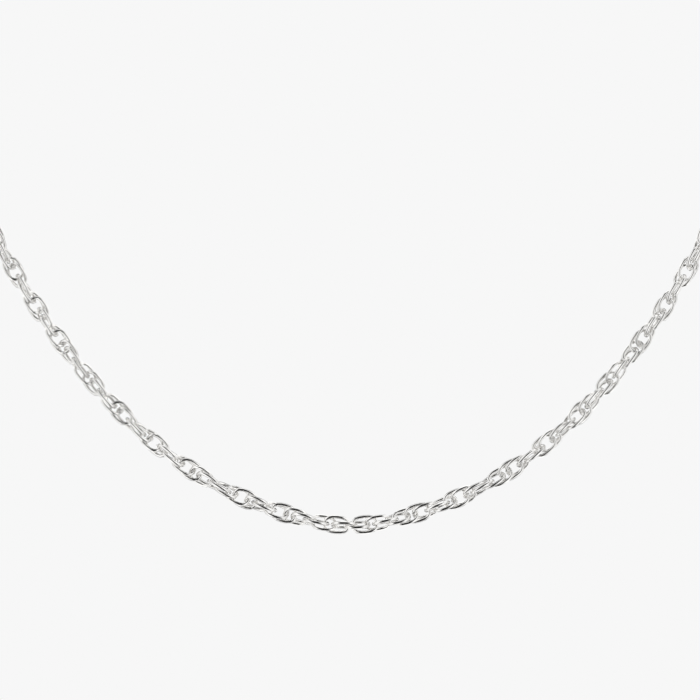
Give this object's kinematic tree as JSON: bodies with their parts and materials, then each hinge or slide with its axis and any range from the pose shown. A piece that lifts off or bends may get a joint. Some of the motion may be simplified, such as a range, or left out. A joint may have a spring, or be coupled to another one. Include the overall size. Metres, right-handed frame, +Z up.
{
  "type": "rope chain necklace",
  "caption": "Fine loose rope chain of oval wire links, closed as a whole loop round the neck with a plain ring clasp at the nape.",
  "frame": {"origin": "middle of the clasp at the nape, where the necklace hangs on the neck", "axes": "+Z up, +X to the right of somebody who faces the necklace, the front hangs towards -Y"},
  "size_m": [0.1118, 0.1196, 0.0866],
  "materials": {
    "silver": "polished sterling silver, drawn wire bent and soldered"
  },
  "bodies": {
    "root": {"chain_front": "silver", "chain_back": "silver", "clasp": "silver"}
  },
  "joints": []
}
